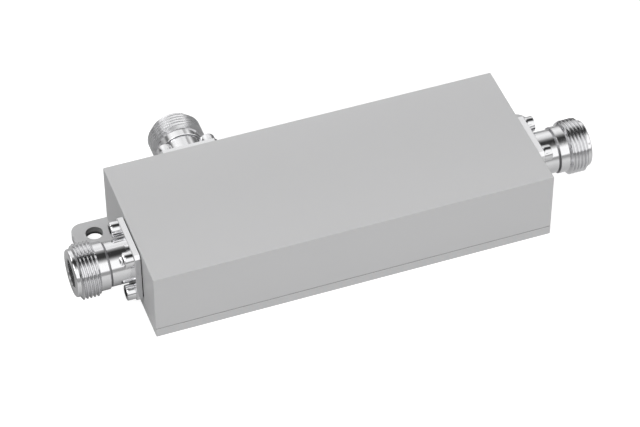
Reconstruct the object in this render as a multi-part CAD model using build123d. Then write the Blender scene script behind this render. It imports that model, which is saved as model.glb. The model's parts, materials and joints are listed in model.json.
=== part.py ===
from build123d import *
import os
from math import radians, tan

# Directional coupler with three type N jacks: input and output on the ends, coupled port on the back.
# Millimetres, +Z up. The origin is the centre of the closed box's footprint, on the cover plate's underside.
# +X runs from the input jack to the output jack, +Y points to the coupled jack.

# Closed box, over the housing and the cover plate
BOX_LENGTH = 118.0
BOX_WIDTH = 47.2
BOX_HEIGHT = 22.3
PLATE_THICKNESS = 3.1
EDGE_ROUND = 0.3
SEAM_BEVEL = 0.2

# Milled cavity
WALL = 6.0
ROOF = 3.0
CUTTER_RADIUS = 4.0
PLATEAU_FIT = 0.2

# Where the jacks stand on the walls
PORT_HEIGHT = (PLATE_THICKNESS + BOX_HEIGHT) / 2
MAIN_PORT_FROM_BACK = 27.7
COUPLED_PORT_FROM_END = 25.8

# Fixing ears of the cover plate
EAR_REACH = 11.4
EAR_WIDTH = 10.6
EAR_CORNER = 3.3
EAR_HOLE = 5.0
EAR_HOLE_SINK = 0.5
EAR_HOLE_OUT = 5.25

# Cover screws, M2.5 countersunk
COVER_SCREWS_PER_SIDE = 4
COVER_SCREW_DIAMETER = 2.5
COVER_SCREW_LENGTH = 8.0
COVER_HEAD_DIAMETER = 4.7
COVER_HEAD_LAND = 0.25
COVER_SINK_ANGLE = 90.0

# Flange screws, M2.5 socket head
FLANGE_SCREW_DIAMETER = 2.5
FLANGE_SCREW_LENGTH = 6.0
FLANGE_HEAD_DIAMETER = 4.5
FLANGE_HEAD_HEIGHT = 2.5
FLANGE_HEAD_BEVEL = 0.2

# Load screws, M2 socket head
LOAD_SCREW_DIAMETER = 2.0
LOAD_SCREW_LENGTH = 5.0
LOAD_HEAD_DIAMETER = 3.8
LOAD_HEAD_HEIGHT = 2.0
LOAD_HEAD_BEVEL = 0.15

# Shared by every screw
HEX_SHARE_OF_HEAD = 0.5
HEX_DEPTH_SHARE = 0.5
TAP_CLEARANCE = 0.05
TAP_SPARE_DEPTH = 0.8
HOLE_CLEARANCE = 0.1

# Jack flange and gasket
FLANGE_SIDE = 17.5
FLANGE_THICKNESS = 1.7
FLANGE_CORNER = 1.4
FLANGE_EDGE_BEVEL = 0.15
FLANGE_HOLE_SPACING = 12.7
GASKET_THICKNESS = 0.3
GASKET_INSET = 0.2

# Outside of the jack, from the flange to the rim
BARREL_DIAMETER = 12.8
BARREL_LENGTH = 5.85
BARREL_BEVEL = 0.12
GROOVE_DIAMETER = 12.1
GROOVE_WIDTH = 0.45
COLLAR_DIAMETER = 13.7
COLLAR_LENGTH = 2.7
COLLAR_BEVEL = 0.12
THREAD_DIAMETER = 15.875
THREAD_LENGTH = 4.7
THREAD_RUNOUT = 0.6
THREAD_LEAD = 0.55
NOSE_DIAMETER = 13.6
NOSE_LENGTH = 1.25
NOSE_ROUND = 0.5

# Inside of the jack
MOUTH_DIAMETER = 8.2
MOUTH_DEPTH = 9.1
MOUTH_BEVEL = 0.3
LINE_BORE_DIAMETER = 7.0
LINE_BORE_LENGTH = 1.4
BEAD_DIAMETER = 10.0
BEAD_LIP = 1.0
BEAD_LIP_DIAMETER = 8.4
CONTACT_DIAMETER = 3.04
CONTACT_BELOW_RIM = 5.0
CONTACT_BORE_DIAMETER = 1.65
CONTACT_BORE_DEPTH = 4.6
CONTACT_SLOT_WIDTH = 0.35
CONTACT_SLOT_DEPTH = 4.0
CONTACT_GRIP = 4.6
TAIL_DIAMETER = 2.0
TAIL_REACH = 6.0
TAIL_BEVEL = 0.3
BEAD_CLEARANCE = 0.03

# Conductors in the cavity
ROD_DIAMETER = 7.0
ROD_BEVEL = 1.4
LINE_END_GAP = 2.5
TAIL_SOCKET_DEPTH = 4.0
SOLDER_HOLE = 1.2
SOLDER_HOLE_FROM_END = 3.0
SOLDER_CLEARANCE = 0.03
BAR_THICKNESS = 3.6
BAR_HEIGHT = 6.0
COUPLING_GAP = 4.0
COUPLING_GAP_OUTER = 7.5
STEP_RUN = 3.5
STEP_TO_SUPPORT = 1.5
BAR_TO_LOAD = 1.9

# Supports that hold the conductors
SUPPORT_THICKNESS = 6.0
SUPPORT_TO_LOAD_PAD = 1.45
SUPPORT_MARGIN = 2.5
SUPPORT_FIT = 0.05
SUPPORT_EDGE_BEVEL = 0.4

# Termination load and the pad that it stands on
LOAD_FLANGE_LENGTH = 12.7
LOAD_FLANGE_WIDTH = 5.0
LOAD_FLANGE_THICKNESS = 1.5
LOAD_HOLE_SPACING = 9.3
LOAD_CHIP_LENGTH = 4.4
LOAD_CHIP_WIDTH = 4.4
LOAD_CHIP_THICKNESS = 1.0
LOAD_TAB_WIDTH = 1.6
LOAD_TAB_THICKNESS = 0.2
LOAD_TAB_ON_CHIP = 2.6
LOAD_TAB_ON_BAR = 1.8
LOAD_PAD_MARGIN = 0.4

# Levels and places that follow from the sizes above
CAVITY_TOP = BOX_HEIGHT - ROOF
PLATEAU_TOP = 2 * PORT_HEIGHT - CAVITY_TOP
CAVITY_LENGTH = BOX_LENGTH - 2 * WALL
CAVITY_WIDTH = BOX_WIDTH - 2 * WALL
MAIN_PORT_Y = BOX_WIDTH / 2 - MAIN_PORT_FROM_BACK
COUPLED_PORT_X = -BOX_LENGTH / 2 + COUPLED_PORT_FROM_END
FLANGE_FACE = GASKET_THICKNESS + FLANGE_THICKNESS
GROOVE_START = FLANGE_FACE + BARREL_LENGTH
COLLAR_START = GROOVE_START + GROOVE_WIDTH
COLLAR_END = COLLAR_START + COLLAR_LENGTH
THREAD_START = COLLAR_END + THREAD_RUNOUT
THREAD_END = THREAD_START + THREAD_LENGTH
NOSE_START = THREAD_END + THREAD_LEAD
RIM = NOSE_START + NOSE_LENGTH
BEAD_FACE = RIM - MOUTH_DEPTH - LINE_BORE_LENGTH
CONTACT_STEP = BEAD_FACE - CONTACT_GRIP
CONTACT_TIP = RIM - CONTACT_BELOW_RIM
TAIL_END = WALL + TAIL_REACH
ROD_FACE_Y = MAIN_PORT_Y + ROD_DIAMETER / 2
BAR_INNER_Y = ROD_FACE_Y + COUPLING_GAP + BAR_THICKNESS / 2
BAR_OUTER_Y = ROD_FACE_Y + COUPLING_GAP_OUTER + BAR_THICKNESS / 2
BAR_START_Y = BOX_WIDTH / 2 - WALL - LINE_END_GAP
LOAD_X = -COUPLED_PORT_X
LOAD_Y = BOX_WIDTH / 2 - WALL - LOAD_PAD_MARGIN - LOAD_FLANGE_WIDTH / 2
LOAD_TAB_TOP = PORT_HEIGHT - BAR_HEIGHT / 2
LOAD_CHIP_TOP = LOAD_TAB_TOP + LOAD_CHIP_THICKNESS
LOAD_PAD_LEVEL = LOAD_CHIP_TOP + LOAD_FLANGE_THICKNESS
LOAD_PAD_LENGTH = LOAD_FLANGE_LENGTH + 2 * LOAD_PAD_MARGIN
SUPPORT_X = LOAD_X - LOAD_PAD_LENGTH / 2 - SUPPORT_TO_LOAD_PAD - SUPPORT_THICKNESS / 2
STEP_OUTER_X = SUPPORT_X - SUPPORT_THICKNESS / 2 - STEP_TO_SUPPORT
STEP_INNER_X = STEP_OUTER_X - STEP_RUN

# The wall face under each jack's axis, with the local +Z pointing out of the box
PORTS = {
    "input": Location((-BOX_LENGTH / 2, MAIN_PORT_Y, PORT_HEIGHT), (0, -90, 0)),
    "output": Location((BOX_LENGTH / 2, MAIN_PORT_Y, PORT_HEIGHT), (0, 90, 0)),
    "coupled": Location((COUPLED_PORT_X, BOX_WIDTH / 2, PORT_HEIGHT), (-90, 0, 0)),
}


def upright_cylinder(diameter, bottom, top):
    """A cylinder on the local Z axis between two levels."""
    return Pos(0, 0, (bottom + top) / 2) * Cylinder(diameter / 2, top - bottom)


def upright_block(length, width, bottom, top, corner=0.0):
    """A block on the local Z axis between two levels, with round upright corners."""
    outline = RectangleRounded(length, width, corner) if corner else Rectangle(length, width)
    return Pos(0, 0, bottom) * extrude(outline, top - bottom)


def flange_screw_places():
    """The four screw axes round a jack, in the jack's own frame."""
    half = FLANGE_HOLE_SPACING / 2
    return [Pos(x, y, 0) for x in (-half, half) for y in (-half, half)]


def cover_screw_places():
    """The screw axes in the middle of the long walls, evenly spaced from corner to corner."""
    first = -BOX_LENGTH / 2 + WALL / 2
    pitch = -2 * first / (COVER_SCREWS_PER_SIDE - 1)
    row = BOX_WIDTH / 2 - WALL / 2
    return [Pos(first + pitch * i, y, 0) for y in (-row, row) for i in range(COVER_SCREWS_PER_SIDE)]


def load_screw_places():
    """The two screw axes through the load's flange."""
    return [Pos(LOAD_X + side * LOAD_HOLE_SPACING / 2, LOAD_Y, 0) for side in (-1, 1)]


def housing():
    """The milled block: closed on top, with a cavity that opens downwards on to the cover plate."""
    block = upright_block(BOX_LENGTH, BOX_WIDTH, PLATE_THICKNESS, BOX_HEIGHT)
    rounded = block.edges().filter_by(Axis.Z) + block.faces().sort_by(Axis.Z)[-1].edges()
    block = fillet(rounded, EDGE_ROUND)
    block = chamfer(block.faces().sort_by(Axis.Z)[0].outer_wire().edges(), SEAM_BEVEL)
    block -= upright_block(CAVITY_LENGTH, CAVITY_WIDTH, PLATE_THICKNESS, CAVITY_TOP, CUTTER_RADIUS)
    block += load_pad()
    for place in PORTS.values():
        block -= place * wall_opening()
    tapped = COVER_SCREW_LENGTH + TAP_SPARE_DEPTH
    for place in cover_screw_places():
        block -= place * upright_cylinder(COVER_SCREW_DIAMETER + 2 * TAP_CLEARANCE, PLATE_THICKNESS, tapped)
    load_tap = LOAD_PAD_LEVEL + LOAD_SCREW_LENGTH - LOAD_FLANGE_THICKNESS + TAP_SPARE_DEPTH
    for place in load_screw_places():
        block -= place * upright_cylinder(LOAD_SCREW_DIAMETER + 2 * TAP_CLEARANCE, LOAD_PAD_LEVEL, load_tap)
    return block


def load_pad():
    """The raised pad that brings the load down to the level of the coupled line."""
    front = LOAD_Y - LOAD_FLANGE_WIDTH / 2 - LOAD_PAD_MARGIN
    back = BOX_WIDTH / 2 - WALL / 2
    top = BOX_HEIGHT - ROOF / 2
    pad = upright_block(LOAD_PAD_LENGTH, back - front, LOAD_PAD_LEVEL, top)
    return Pos(LOAD_X, (front + back) / 2, 0) * pad


def wall_opening():
    """What one jack needs in its wall: a stepped bore for the bead, and four tapped holes."""
    bead = upright_cylinder(BEAD_DIAMETER + 2 * BEAD_CLEARANCE, BEAD_LIP - WALL, GASKET_THICKNESS)
    lip = upright_cylinder(BEAD_LIP_DIAMETER, -WALL - CUTTER_RADIUS, BEAD_LIP - WALL)
    opening = bead + lip
    tapped = FLANGE_FACE - FLANGE_SCREW_LENGTH - TAP_SPARE_DEPTH
    hole = upright_cylinder(FLANGE_SCREW_DIAMETER + 2 * TAP_CLEARANCE, tapped, GASKET_THICKNESS)
    for place in flange_screw_places():
        opening += place * hole
    return opening


def cover_plate():
    """The bottom plate: the box's outline with an ear at each end, and a plateau that locates in the cavity."""
    plate = upright_block(BOX_LENGTH, BOX_WIDTH, 0, PLATE_THICKNESS, EDGE_ROUND)
    ear_middle = BOX_WIDTH / 2 - EAR_WIDTH / 2
    across = BOX_LENGTH + 2 * EAR_REACH
    plate += Pos(0, ear_middle, 0) * upright_block(across, EAR_WIDTH, 0, PLATE_THICKNESS, EAR_CORNER)
    top_edges = plate.faces().sort_by(Axis.Z)[-1].edges()
    bottom_edges = plate.faces().sort_by(Axis.Z)[0].edges()
    plate = chamfer(top_edges + bottom_edges, SEAM_BEVEL)
    inner_length = CAVITY_LENGTH - 2 * PLATEAU_FIT
    inner_width = CAVITY_WIDTH - 2 * PLATEAU_FIT
    plate += upright_block(inner_length, inner_width, PLATE_THICKNESS / 2, PLATEAU_TOP, CUTTER_RADIUS)
    for end in (-1, 1):
        sink = Cone(EAR_HOLE / 2 + EAR_HOLE_SINK, EAR_HOLE / 2, EAR_HOLE_SINK)
        hole = upright_cylinder(EAR_HOLE, 0, PLATE_THICKNESS) + Pos(0, 0, EAR_HOLE_SINK / 2) * sink
        plate -= Pos(end * (BOX_LENGTH / 2 + EAR_HOLE_OUT), ear_middle, 0) * hole
    for place in cover_screw_places():
        plate -= place * countersunk_hole()
    return plate


def countersunk_hole():
    """The hole under one cover screw: a straight hole with a cone at the underside."""
    straight = upright_cylinder(COVER_SCREW_DIAMETER + 2 * HOLE_CLEARANCE, 0, PLATE_THICKNESS)
    land = upright_cylinder(COVER_HEAD_DIAMETER + 2 * HOLE_CLEARANCE, 0, COVER_HEAD_LAND)
    return straight + land + sink_cone(HOLE_CLEARANCE)


def sink_cone(clearance):
    """The cone under a countersunk head, from the head's land up to the shank."""
    head = COVER_HEAD_DIAMETER / 2 + clearance
    shank = COVER_SCREW_DIAMETER / 2 + clearance
    height = (head - shank) / tan(radians(COVER_SINK_ANGLE / 2))
    return Pos(0, 0, COVER_HEAD_LAND + height / 2) * Cone(head, shank, height)


def hex_socket(head_diameter, head_height):
    """The six-sided recess in a screw head, open at the local zero level and sunk upwards."""
    across_flats = head_diameter * HEX_SHARE_OF_HEAD
    outline = RegularPolygon(across_flats / 2, 6, major_radius=False)
    return extrude(outline, head_height * HEX_DEPTH_SHARE)


def cover_screws():
    """Eight countersunk screws, driven upwards into the long walls."""
    screw = upright_cylinder(COVER_HEAD_DIAMETER, 0, COVER_HEAD_LAND) + sink_cone(0)
    screw += upright_cylinder(COVER_SCREW_DIAMETER, 0, COVER_SCREW_LENGTH)
    screw -= hex_socket(COVER_HEAD_DIAMETER, COVER_HEAD_LAND + COVER_SCREW_DIAMETER / 2)
    return Compound([place * screw for place in cover_screw_places()])


def socket_screw(diameter, length, head_diameter, head_height, head_bevel):
    """A socket head screw: the head stands on the local zero level, the shank points down."""
    head = upright_cylinder(head_diameter, 0, head_height)
    head = chamfer(head.edges().sort_by(Axis.Z)[-1], head_bevel)
    recess = Pos(0, 0, head_height) * Rot(180, 0, 0) * hex_socket(head_diameter, head_height)
    return head + upright_cylinder(diameter, -length, 0) - recess


def flange_screws():
    """The four screws that hold a jack to its wall."""
    screw = Pos(0, 0, FLANGE_FACE) * socket_screw(
        FLANGE_SCREW_DIAMETER, FLANGE_SCREW_LENGTH, FLANGE_HEAD_DIAMETER, FLANGE_HEAD_HEIGHT, FLANGE_HEAD_BEVEL
    )
    return Compound([place * screw for place in flange_screw_places()])


def load_screws():
    """The two screws that hold the load to its pad, driven upwards."""
    below_flange = LOAD_PAD_LEVEL - LOAD_FLANGE_THICKNESS
    screw = Pos(0, 0, below_flange) * Rot(180, 0, 0) * socket_screw(
        LOAD_SCREW_DIAMETER, LOAD_SCREW_LENGTH, LOAD_HEAD_DIAMETER, LOAD_HEAD_HEIGHT, LOAD_HEAD_BEVEL
    )
    return Compound([place * screw for place in load_screw_places()])


def jack_outline():
    """Half the jack's turned section, from its axis: the barrel, groove, collar, thread and nose."""
    barrel = BARREL_DIAMETER / 2
    groove = GROOVE_DIAMETER / 2
    collar = COLLAR_DIAMETER / 2
    thread = THREAD_DIAMETER / 2
    nose = NOSE_DIAMETER / 2
    return Polyline(
        (0, GASKET_THICKNESS),
        (barrel, GASKET_THICKNESS),
        (barrel, GROOVE_START - BARREL_BEVEL),
        (groove, GROOVE_START),
        (groove, COLLAR_START),
        (collar - COLLAR_BEVEL, COLLAR_START),
        (collar, COLLAR_START + COLLAR_BEVEL),
        (collar, COLLAR_END),
        (thread, THREAD_START),
        (thread, THREAD_END),
        (nose, NOSE_START),
        (nose, RIM),
        (0, RIM),
        close=True,
    )


def connector():
    """The jack's body: a square flange and a turned barrel in one piece, bored through."""
    flange = upright_block(FLANGE_SIDE, FLANGE_SIDE, GASKET_THICKNESS, FLANGE_FACE)
    flange = chamfer(flange.edges().filter_by(Axis.Z), FLANGE_CORNER)
    flange = chamfer(flange.faces().sort_by(Axis.Z)[-1].edges(), FLANGE_EDGE_BEVEL)
    turned = revolve(make_face(Plane.XZ * jack_outline()), Axis.Z)
    turned = fillet(turned.edges().filter_by(GeomType.CIRCLE).sort_by(Axis.Z)[-1], NOSE_ROUND)
    body = flange + turned
    hole = upright_cylinder(FLANGE_SCREW_DIAMETER + 2 * HOLE_CLEARANCE, GASKET_THICKNESS, FLANGE_FACE)
    for place in flange_screw_places():
        body -= place * hole
    mouth = upright_cylinder(MOUTH_DIAMETER, RIM - MOUTH_DEPTH, RIM)
    mouth_edge = Cone(MOUTH_DIAMETER / 2, MOUTH_DIAMETER / 2 + MOUTH_BEVEL, MOUTH_BEVEL)
    line_bore = upright_cylinder(LINE_BORE_DIAMETER, BEAD_FACE, RIM)
    bead_seat = upright_cylinder(BEAD_DIAMETER, GASKET_THICKNESS, BEAD_FACE)
    return body - mouth - Pos(0, 0, RIM - MOUTH_BEVEL / 2) * mouth_edge - line_bore - bead_seat


def gasket():
    """The thin rubber seal between a jack's flange and its wall."""
    side = FLANGE_SIDE - 2 * GASKET_INSET
    seal = upright_block(side, side, 0, GASKET_THICKNESS)
    seal = chamfer(seal.edges().filter_by(Axis.Z), FLANGE_CORNER)
    seal -= upright_cylinder(BEAD_DIAMETER + 2 * HOLE_CLEARANCE, 0, GASKET_THICKNESS)
    hole = upright_cylinder(FLANGE_SCREW_DIAMETER + 2 * HOLE_CLEARANCE, 0, GASKET_THICKNESS)
    for place in flange_screw_places():
        seal -= place * hole
    return seal


def insulator():
    """The PTFE bead: pushed into the jack from behind and held by the lip in the wall."""
    bead = upright_cylinder(BEAD_DIAMETER - 2 * BEAD_CLEARANCE, BEAD_LIP - WALL, BEAD_FACE)
    bead += upright_cylinder(BEAD_LIP_DIAMETER - 2 * BEAD_CLEARANCE, -WALL, BEAD_LIP - WALL)
    bead -= upright_cylinder(CONTACT_DIAMETER + 2 * BEAD_CLEARANCE, CONTACT_STEP, BEAD_FACE)
    return bead - upright_cylinder(TAIL_DIAMETER + 2 * BEAD_CLEARANCE, -WALL, CONTACT_STEP)


def contact():
    """The centre contact: a slotted socket in front, and a tail that reaches into the cavity."""
    socket = upright_cylinder(CONTACT_DIAMETER, CONTACT_STEP, CONTACT_TIP)
    tail = upright_cylinder(TAIL_DIAMETER, -TAIL_END, CONTACT_STEP)
    tail = chamfer(tail.edges().sort_by(Axis.Z)[0], TAIL_BEVEL)
    bore = upright_cylinder(CONTACT_BORE_DIAMETER, CONTACT_TIP - CONTACT_BORE_DEPTH, CONTACT_TIP)
    slot = upright_block(CONTACT_DIAMETER, CONTACT_SLOT_WIDTH, CONTACT_TIP - CONTACT_SLOT_DEPTH, CONTACT_TIP)
    return socket + tail - bore - slot - Rot(0, 0, 90) * slot


def main_line():
    """The through conductor: a round rod with a socket in each end for a contact's tail."""
    length = CAVITY_LENGTH - 2 * LINE_END_GAP
    rod = Rot(0, 90, 0) * Cylinder(ROD_DIAMETER / 2, length)
    rod = chamfer(rod.edges().filter_by(GeomType.CIRCLE), ROD_BEVEL)
    socket = Rot(0, 90, 0) * Cylinder(TAIL_DIAMETER / 2 + SOLDER_CLEARANCE, TAIL_SOCKET_DEPTH)
    vent = upright_cylinder(SOLDER_HOLE, -ROD_DIAMETER / 2, 0)
    for end in (-1, 1):
        rod -= Pos(end * (length - TAIL_SOCKET_DEPTH) / 2, 0, 0) * socket
        rod -= Pos(end * (length / 2 - SOLDER_HOLE_FROM_END), 0, 0) * vent
    return Pos(0, MAIN_PORT_Y, PORT_HEIGHT) * rod


def coupled_line():
    """The coupled conductor: a bar that steps in towards the rod over its middle, with a stub at each end."""
    route = Polyline(
        (COUPLED_PORT_X, BAR_START_Y),
        (COUPLED_PORT_X, BAR_OUTER_Y),
        (-STEP_OUTER_X, BAR_OUTER_Y),
        (-STEP_INNER_X, BAR_INNER_Y),
        (STEP_INNER_X, BAR_INNER_Y),
        (STEP_OUTER_X, BAR_OUTER_Y),
        (LOAD_X, BAR_OUTER_Y),
        (LOAD_X, BAR_OUTER_Y + BAR_TO_LOAD),
    )
    plan = trace(route, BAR_THICKNESS)
    bar = Pos(0, 0, PORT_HEIGHT - BAR_HEIGHT / 2) * extrude(plan, BAR_HEIGHT)
    socket = Rot(90, 0, 0) * Cylinder(TAIL_DIAMETER / 2 + SOLDER_CLEARANCE, TAIL_SOCKET_DEPTH)
    return bar - Pos(COUPLED_PORT_X, BAR_START_Y - TAIL_SOCKET_DEPTH / 2, PORT_HEIGHT) * socket


def line_support(side):
    """A PTFE block between roof and plateau: a hole for the rod, and a slot for the bar, open below."""
    front = MAIN_PORT_Y - ROD_DIAMETER / 2 - SUPPORT_MARGIN
    back = BAR_OUTER_Y + BAR_THICKNESS / 2 + SUPPORT_MARGIN
    x = side * SUPPORT_X
    block = upright_block(SUPPORT_THICKNESS, back - front, PLATEAU_TOP + SUPPORT_FIT, CAVITY_TOP - SUPPORT_FIT)
    block = Pos(x, (front + back) / 2, 0) * chamfer(block.edges().filter_by(Axis.Z), SUPPORT_EDGE_BEVEL)
    hole = Rot(0, 90, 0) * Cylinder(ROD_DIAMETER / 2 + SUPPORT_FIT, SUPPORT_THICKNESS)
    block -= Pos(x, MAIN_PORT_Y, PORT_HEIGHT) * hole
    slot_top = PORT_HEIGHT + BAR_HEIGHT / 2 + SUPPORT_FIT
    slot = upright_block(SUPPORT_THICKNESS, BAR_THICKNESS + 2 * SUPPORT_FIT, PLATEAU_TOP, slot_top)
    return block - Pos(x, BAR_OUTER_Y, 0) * slot


def load_flange():
    """The load's mounting flange, screwed up against the pad."""
    bottom = LOAD_PAD_LEVEL - LOAD_FLANGE_THICKNESS
    plate = upright_block(LOAD_FLANGE_LENGTH, LOAD_FLANGE_WIDTH, bottom, LOAD_PAD_LEVEL)
    plate = Pos(LOAD_X, LOAD_Y, 0) * plate
    hole = upright_cylinder(LOAD_SCREW_DIAMETER + 2 * HOLE_CLEARANCE, bottom, LOAD_PAD_LEVEL)
    for place in load_screw_places():
        plate -= place * hole
    return plate


def load_resistor():
    """The ceramic chip that carries the resistor, soldered to the flange."""
    chip = upright_block(LOAD_CHIP_LENGTH, LOAD_CHIP_WIDTH, LOAD_TAB_TOP, LOAD_CHIP_TOP)
    return Pos(LOAD_X, LOAD_Y, 0) * chip


def load_tab():
    """The thin strip that joins the chip to the end of the coupled line, under both."""
    back = LOAD_Y - LOAD_CHIP_WIDTH / 2 + LOAD_TAB_ON_CHIP
    front = BAR_OUTER_Y + BAR_TO_LOAD - LOAD_TAB_ON_BAR
    strip = upright_block(LOAD_TAB_WIDTH, back - front, LOAD_TAB_TOP - LOAD_TAB_THICKNESS, LOAD_TAB_TOP)
    return Pos(LOAD_X, (front + back) / 2, 0) * strip


pieces = {
    "housing": housing(),
    "cover_plate": cover_plate(),
    "cover_screws": cover_screws(),
    "main_line": main_line(),
    "coupled_line": coupled_line(),
    "line_support_input": line_support(-1),
    "line_support_output": line_support(1),
    "load_flange": load_flange(),
    "load_resistor": load_resistor(),
    "load_tab": load_tab(),
    "load_screws": load_screws(),
}
for port, place in PORTS.items():
    pieces[f"{port}_connector"] = place * connector()
    pieces[f"{port}_gasket"] = place * gasket()
    pieces[f"{port}_insulator"] = place * insulator()
    pieces[f"{port}_contact"] = place * contact()
    pieces[f"{port}_screws"] = place * flange_screws()

os.makedirs("parts", exist_ok=True)
for node, piece in pieces.items():
    export_step(piece, f"parts/{node}.step")
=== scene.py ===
import bpy
import json
from math import cos, pi, radians, sin, sqrt, tan
from mathutils import Matrix, Vector


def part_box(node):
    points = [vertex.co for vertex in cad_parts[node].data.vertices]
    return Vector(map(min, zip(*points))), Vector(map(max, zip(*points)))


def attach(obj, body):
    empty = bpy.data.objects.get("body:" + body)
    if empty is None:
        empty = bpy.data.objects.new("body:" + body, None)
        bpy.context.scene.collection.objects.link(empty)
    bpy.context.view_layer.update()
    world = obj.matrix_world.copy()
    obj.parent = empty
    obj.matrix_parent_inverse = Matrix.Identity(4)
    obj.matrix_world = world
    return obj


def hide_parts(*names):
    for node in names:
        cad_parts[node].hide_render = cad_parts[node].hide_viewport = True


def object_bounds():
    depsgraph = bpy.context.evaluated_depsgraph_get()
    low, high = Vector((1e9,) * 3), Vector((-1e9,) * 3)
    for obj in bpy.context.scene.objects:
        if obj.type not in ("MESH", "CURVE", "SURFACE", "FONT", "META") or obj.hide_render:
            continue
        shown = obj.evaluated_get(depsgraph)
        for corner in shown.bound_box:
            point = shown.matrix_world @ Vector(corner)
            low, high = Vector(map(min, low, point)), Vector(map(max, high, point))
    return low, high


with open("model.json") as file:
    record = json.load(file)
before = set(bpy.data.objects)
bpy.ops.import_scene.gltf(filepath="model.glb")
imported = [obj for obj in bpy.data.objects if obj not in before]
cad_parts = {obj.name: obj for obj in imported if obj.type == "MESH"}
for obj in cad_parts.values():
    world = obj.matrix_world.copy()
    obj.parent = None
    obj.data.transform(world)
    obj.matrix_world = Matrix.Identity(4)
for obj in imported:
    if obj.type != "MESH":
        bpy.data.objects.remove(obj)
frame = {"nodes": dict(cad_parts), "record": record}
nodes = frame["nodes"]
cad_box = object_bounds()
MM = 0.001


# Housing
# One block of aluminium, milled out from below and closed on top. Its outside is sprayed with a smooth
# silver-grey coat, which hides the cutter marks and leaves only a faint orange peel.

COAT_TINT = (0.54, 0.54, 0.545)
PLATE_THICKNESS = 3.1 * MM
JOINT_TINT = (0.26, 0.26, 0.265)
JOINT_WIDTH = 0.26 * MM
JOINT_STOP = 0.1 * MM
JOINT_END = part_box("housing")[1].x - JOINT_STOP

# The tone drift's mask lies between these two, and the gain brings its swing up to the full amount
MASK_LOW = 0.3
MASK_HIGH = 0.7
DRIFT_GAIN = 4


def new_group(name, inputs, outputs):
    """An empty shader node group with its named sockets, and its two end nodes."""
    group = bpy.data.node_groups.new(name, "ShaderNodeTree")
    for socket, (kind, start) in inputs.items():
        made = group.interface.new_socket(socket, in_out="INPUT", socket_type=f"NodeSocket{kind}")
        if start is not None:
            made.default_value = start
    for socket, kind in outputs.items():
        group.interface.new_socket(socket, in_out="OUTPUT", socket_type=f"NodeSocket{kind}")
    return group, group.nodes.new("NodeGroupInput"), group.nodes.new("NodeGroupOutput")


def feed(tree, socket, value):
    """Gives a socket its value, which is another socket, or a plain number or colour."""
    if hasattr(value, "is_linked"):
        tree.links.new(value, socket)
    else:
        socket.default_value = value


def place_group(tree, group, values):
    """The node of a shader node group, with its own values on the named inputs."""
    node = tree.nodes.new("ShaderNodeGroup")
    node.node_tree = group
    for name, value in values.items():
        feed(tree, node.inputs[name], value)
    return node


def add_noise(tree, coordinates, scale, detail):
    """A noise texture on the given coordinates. Its scale is in features per metre."""
    noise = tree.nodes.new("ShaderNodeTexNoise")
    feed(tree, noise.inputs["Vector"], coordinates)
    feed(tree, noise.inputs["Scale"], scale)
    feed(tree, noise.inputs["Detail"], detail)
    return noise.outputs["Fac"]


def add_math(tree, operation, first, second=None):
    """One Math node. Each side is a socket or a plain number."""
    node = tree.nodes.new("ShaderNodeMath")
    node.operation = operation
    for side, value in enumerate((first, second)):
        if value is not None:
            feed(tree, node.inputs[side], value)
    return node.outputs[0]


def multiply(tree, first, *others):
    """The product of two or more values."""
    for value in others:
        first = add_math(tree, "MULTIPLY", first, value)
    return first


def add_range(tree, value, from_low, from_high, to_low, to_high):
    """Maps a value from one range to another, and holds it at both ends."""
    node = tree.nodes.new("ShaderNodeMapRange")
    feed(tree, node.inputs["Value"], value)
    feed(tree, node.inputs["From Min"], from_low)
    feed(tree, node.inputs["From Max"], from_high)
    feed(tree, node.inputs["To Min"], to_low)
    feed(tree, node.inputs["To Max"], to_high)
    return node.outputs["Result"]


def split_axes(tree, vector):
    """The X, Y and Z of a place or of a direction."""
    node = tree.nodes.new("ShaderNodeSeparateXYZ")
    feed(tree, node.inputs[0], vector)
    return node.outputs["X"], node.outputs["Y"], node.outputs["Z"]


def lay_colour(tree, mask, under, over):
    """Lays one colour over another where the mask is 1."""
    blend = tree.nodes.new("ShaderNodeMix")
    blend.data_type = "RGBA"
    feed(tree, blend.inputs["Factor"], mask)
    feed(tree, blend.inputs["A"], under)
    feed(tree, blend.inputs["B"], over)
    return blend.outputs["Result"]


def make_tone_drift():
    """Slow clouds and fine specks that lighten and darken a colour a little."""
    group, entry, result = new_group(
        "Tone drift",
        {
            "Vector": ("Vector", None),
            "Tint": ("Color", (0.5, 0.5, 0.5, 1)),
            "Clouds": ("Float", 60.0),
            "Specks": ("Float", 3000.0),
            "Amount": ("Float", 0.03),
        },
        {"Colour": "Color", "Mask": "Float"},
    )
    clouds = add_noise(group, entry.outputs["Vector"], entry.outputs["Clouds"], detail=3)
    specks = add_noise(group, entry.outputs["Vector"], entry.outputs["Specks"], detail=2)
    mask = multiply(group, add_math(group, "ADD", clouds, specks), 0.5)
    swing = multiply(group, add_math(group, "SUBTRACT", mask, 0.5), entry.outputs["Amount"])
    gain = add_math(group, "ADD", multiply(group, swing, DRIFT_GAIN), 1)
    scale = group.nodes.new("ShaderNodeVectorMath")
    scale.operation = "SCALE"
    feed(group, scale.inputs[0], entry.outputs["Tint"])
    feed(group, scale.inputs["Scale"], gain)
    feed(group, result.inputs["Colour"], scale.outputs[0])
    feed(group, result.inputs["Mask"], mask)
    return group


tone_drift = make_tone_drift()


def new_finish(name, tint, clouds, specks, amount):
    """A material whose colour drifts a little: its tree, shader, coordinates and tone drift node."""
    material = bpy.data.materials.new(name)
    material.use_nodes = True
    tree = material.node_tree
    shader = tree.nodes["Principled BSDF"]
    place = tree.nodes.new("ShaderNodeTexCoord").outputs["Object"]
    values = {"Vector": place, "Tint": (*tint, 1), "Clouds": clouds, "Specks": specks, "Amount": amount}
    drift = place_group(tree, tone_drift, values)
    feed(tree, shader.inputs["Base Color"], drift.outputs["Colour"])
    return material, tree, shader, place, drift


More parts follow.
